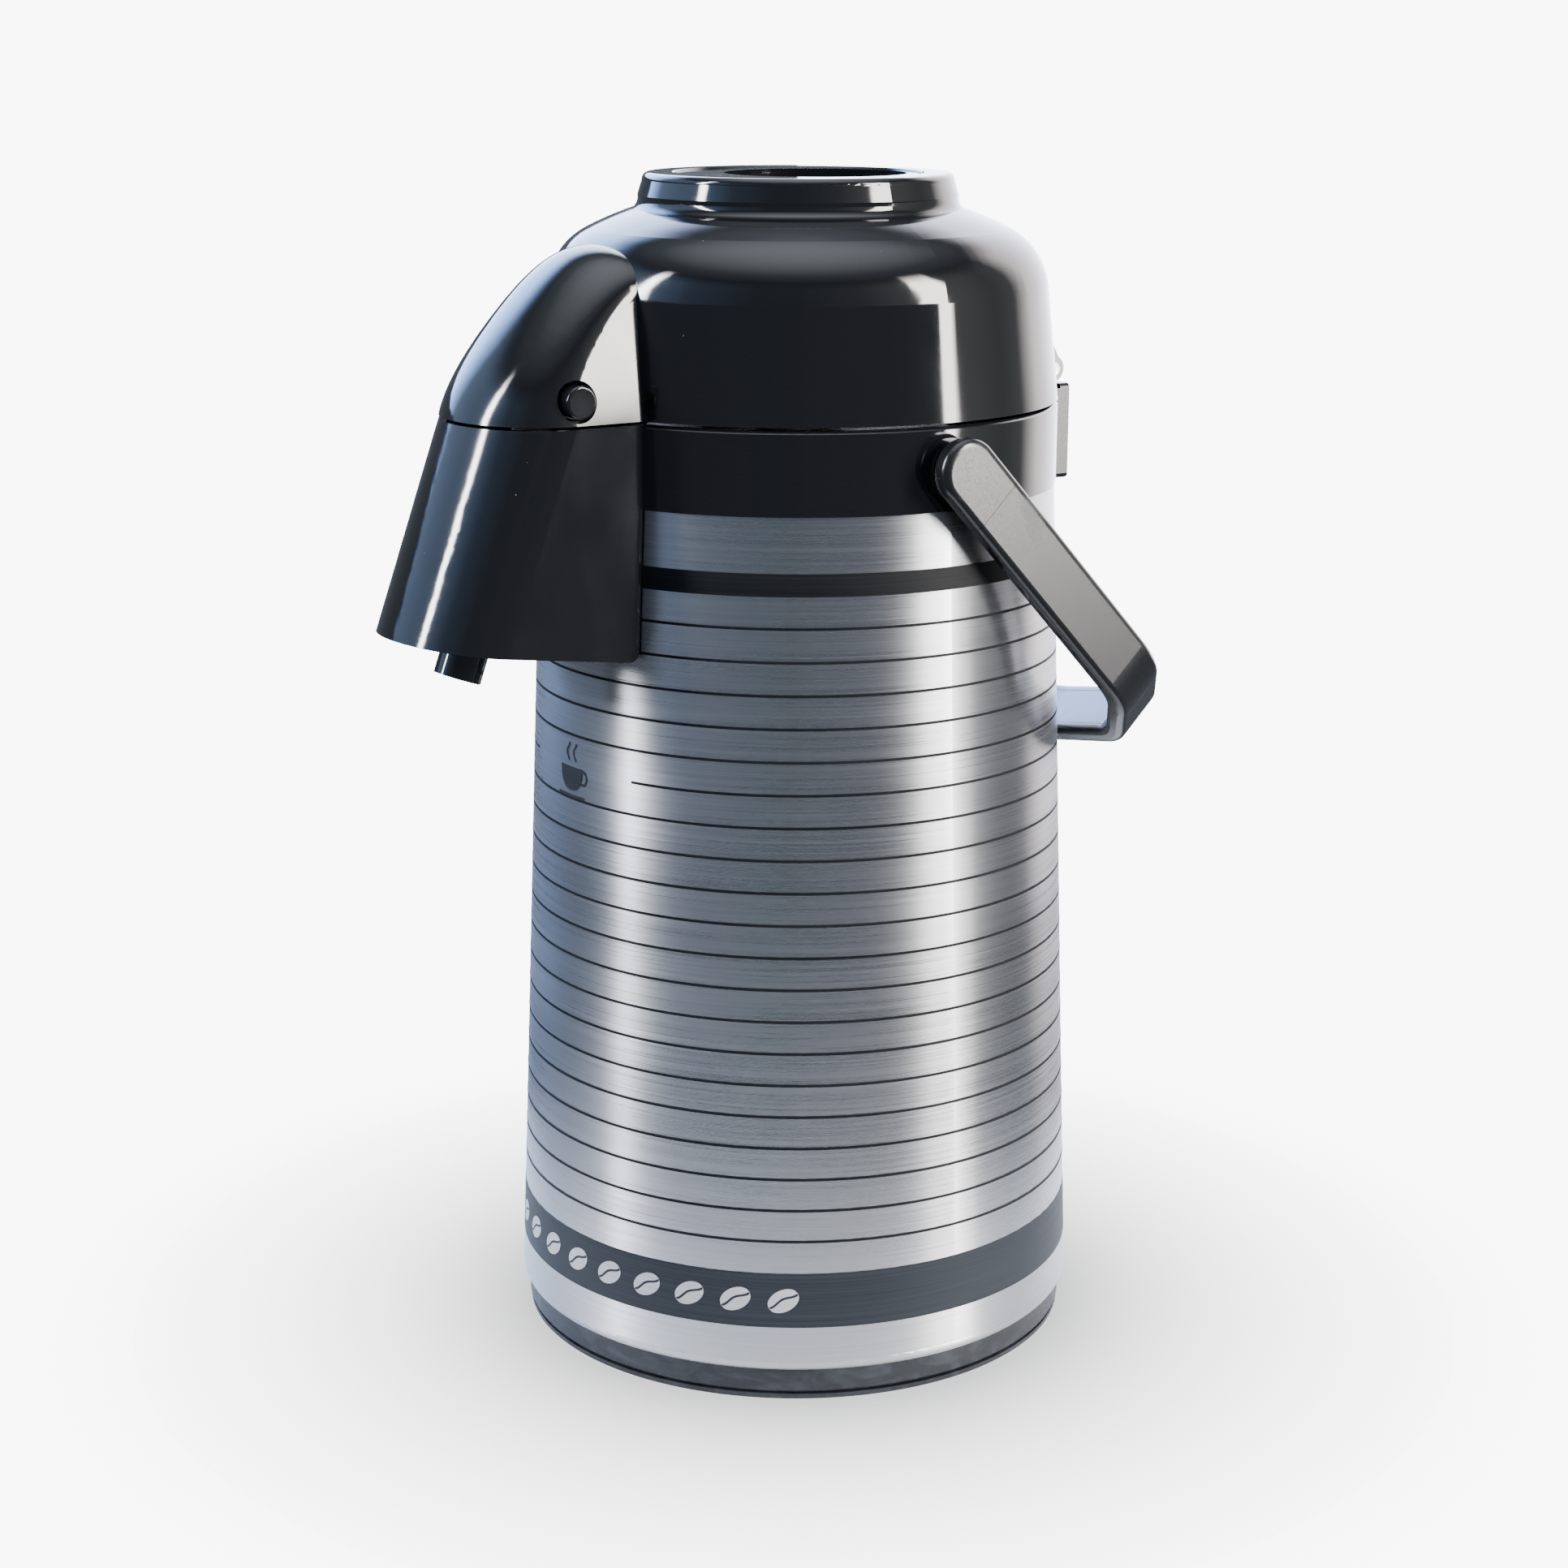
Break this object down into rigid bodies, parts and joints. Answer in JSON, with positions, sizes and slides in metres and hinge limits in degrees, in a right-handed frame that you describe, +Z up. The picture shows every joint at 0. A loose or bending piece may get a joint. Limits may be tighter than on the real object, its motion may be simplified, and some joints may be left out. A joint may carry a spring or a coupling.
{
  "type": "thermal coffee airpot",
  "caption": "Pump airpot that keeps coffee hot in a glass flask: brushed steel casing, black hinged pump lid with spout, push button, swinging carry bail and swivel base.",
  "frame": {"origin": "centre of the round footprint, on the surface the airpot stands on", "axes": "+Z up, -Y towards the spout, +Y towards the lid hinge, +-X along the bail pivots"},
  "size_m": [0.1838, 0.2466, 0.3715],
  "materials": {
    "casing_steel": "brushed round the body, printed with dark bands and thin stripes",
    "gloss_black": "polished moulding",
    "satin_black": "satin with fine scratches",
    "base_black": "worn satin",
    "rubber": "matte",
    "silicone": "translucent white silicone",
    "inner_plastic": "white food-grade moulding",
    "pipe_plastic": "natural polypropylene tube",
    "flask_glass": "silvered glass",
    "zinc": "zinc plated"
  },
  "bodies": {
    "vessel": {"bottom_shell": "base_black", "steel_casing": "casing_steel", "flask_outer_glass": "flask_glass", "flask_inner_glass": "flask_glass", "flask_support": "inner_plastic", "flask_cushion": "rubber", "shoulder_cushion": "rubber", "neck_gasket": "silicone", "pipe_plate": "inner_plastic", "dip_tube": "pipe_plastic", "pipe_union_nut": "inner_plastic", "spout_pipe": "pipe_plastic", "nozzle_tip": "gloss_black", "nozzle_grommet": "silicone", "shoulder_collar": "gloss_black", "spout_underside_cover": "gloss_black", "housing_screws": "zinc", "hinge_bracket": "satin_black", "hinge_bracket_screws": "zinc", "hinge_pin": "zinc", "bail_pivot_pins": "satin_black"},
    "base": {"swivel_base": "base_black", "non_slip_pad": "rubber", "swivel_washer": "zinc", "swivel_screw": "zinc"},
    "bail": {"bail_handle": "satin_black", "bail_grip_liner": "satin_black", "bail_end_cap_left": "satin_black", "bail_end_cap_right": "satin_black"},
    "lid": {"lid_shell": "gloss_black", "lid_base_plate": "inner_plastic", "lid_screws": "zinc", "lid_gasket": "silicone", "bellows": "rubber", "bellows_clamp_ring": "inner_plastic", "return_spring": "zinc", "air_valve_disc": "silicone", "release_spring_left": "zinc", "release_spring_right": "zinc"},
    "button": {"push_button": "gloss_black", "bellows_top_ring": "inner_plastic"},
    "lock": {"lock_slider": "gloss_black"},
    "release_left": {"release_button_left": "gloss_black"},
    "release_right": {"release_button_right": "gloss_black"}
  },
  "joints": [
    {"name": "base_swivel", "type": "hinge", "parent": "base", "child": "vessel", "pos_m": [0, 0, 0.005], "axis": [0, 0, 1], "continuous": true},
    {"name": "bail_swing", "type": "hinge", "parent": "vessel", "child": "bail", "pos_m": [0, 0, 0.289], "axis": [1, 0, 0], "range_deg": [0, 200]},
    {"name": "lid_hinge", "type": "hinge", "parent": "vessel", "child": "lid", "pos_m": [0, 0.09197, 0.3065], "axis": [-1, 0, 0], "range_deg": [0, 100]},
    {"name": "pump_press", "type": "slide", "parent": "lid", "child": "button", "axis": [0, 0, -1], "range_m": [0, 0.024], "stiffness_N_per_m": 500, "springref_m": -0.012, "deforming": ["bellows", "return_spring"]},
    {"name": "lock_slide", "type": "slide", "parent": "button", "child": "lock", "axis": [1, 0, 0], "range_m": [0, 0.009]},
    {"name": "release_left_press", "type": "slide", "parent": "lid", "child": "release_left", "axis": [1, 0, 0], "range_m": [0, 0.0025], "stiffness_N_per_m": 600, "springref_m": -0.002},
    {"name": "release_right_press", "type": "slide", "parent": "lid", "child": "release_right", "axis": [-1, 0, 0], "range_m": [0, 0.0025], "stiffness_N_per_m": 600, "springref_m": -0.002}
  ]
}
